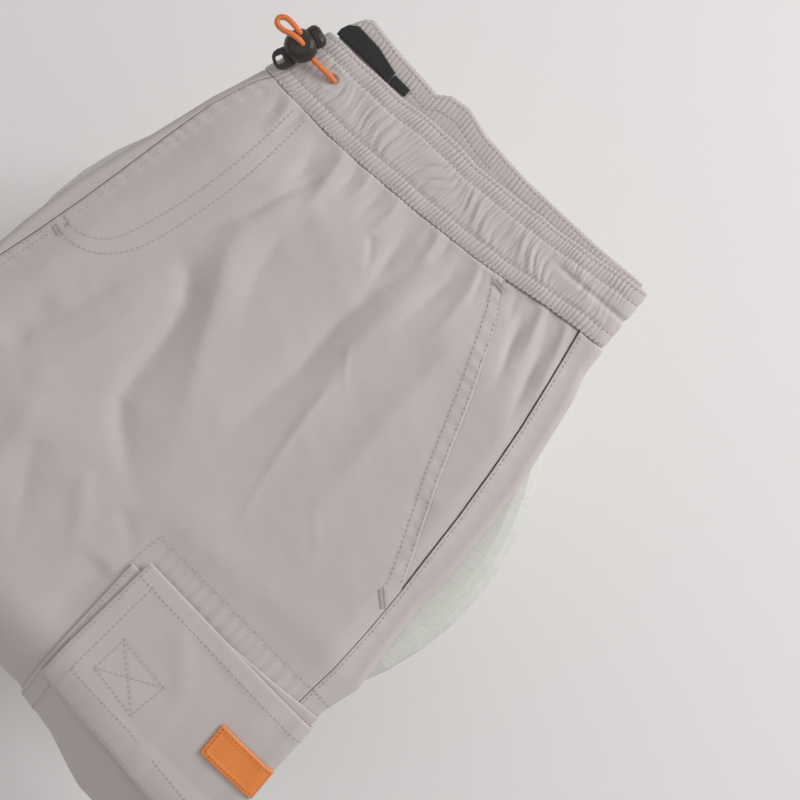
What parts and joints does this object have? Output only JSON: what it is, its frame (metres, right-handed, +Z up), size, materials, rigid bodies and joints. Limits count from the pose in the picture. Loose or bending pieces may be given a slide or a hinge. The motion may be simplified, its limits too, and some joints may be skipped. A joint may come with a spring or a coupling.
{
  "type": "combat shorts on a round stand",
  "caption": "Stone-grey cotton combat shorts folded in half on a pale round stand, with a gathered waist, an orange cord in a round lock, a slanted pocket and a cargo pocket with a flap.",
  "frame": {"origin": "centre of the round stand's foot, on the surface that it stands on", "axes": "+Z up; +Y towards the waistband, the legs hang in front of the stand towards -Y; +X towards the side seam of the upper leg"},
  "size_m": [0.3223, 0.3985, 0.2713],
  "materials": {
    "cloth": "stone-grey cotton poplin, matt",
    "cloth_inside": "the same poplin seen from its inside, matt",
    "label": "black woven label, bare",
    "lock": "moulded black plastic",
    "cord": "braided orange elastic cord",
    "patch": "moulded orange rubber, bare field inside a darker rim",
    "stand": "pale whitewash with a faint grain"
  },
  "bodies": {
    "root": {"stand": "stand", "front_left": "cloth", "front_right": "cloth", "back_left": "cloth", "pocket_facing": "cloth", "inner_layers": "cloth_inside", "waistband_front": "cloth", "waistband_back": "cloth_inside", "cargo_pocket": "cloth", "cargo_flap": "cloth", "flap_tab": "patch", "waist_label": "label", "waist_label_tab": "label", "drawcord": "cord", "cord_lock_body": "lock", "cord_lock_button": "lock"}
  },
  "joints": []
}
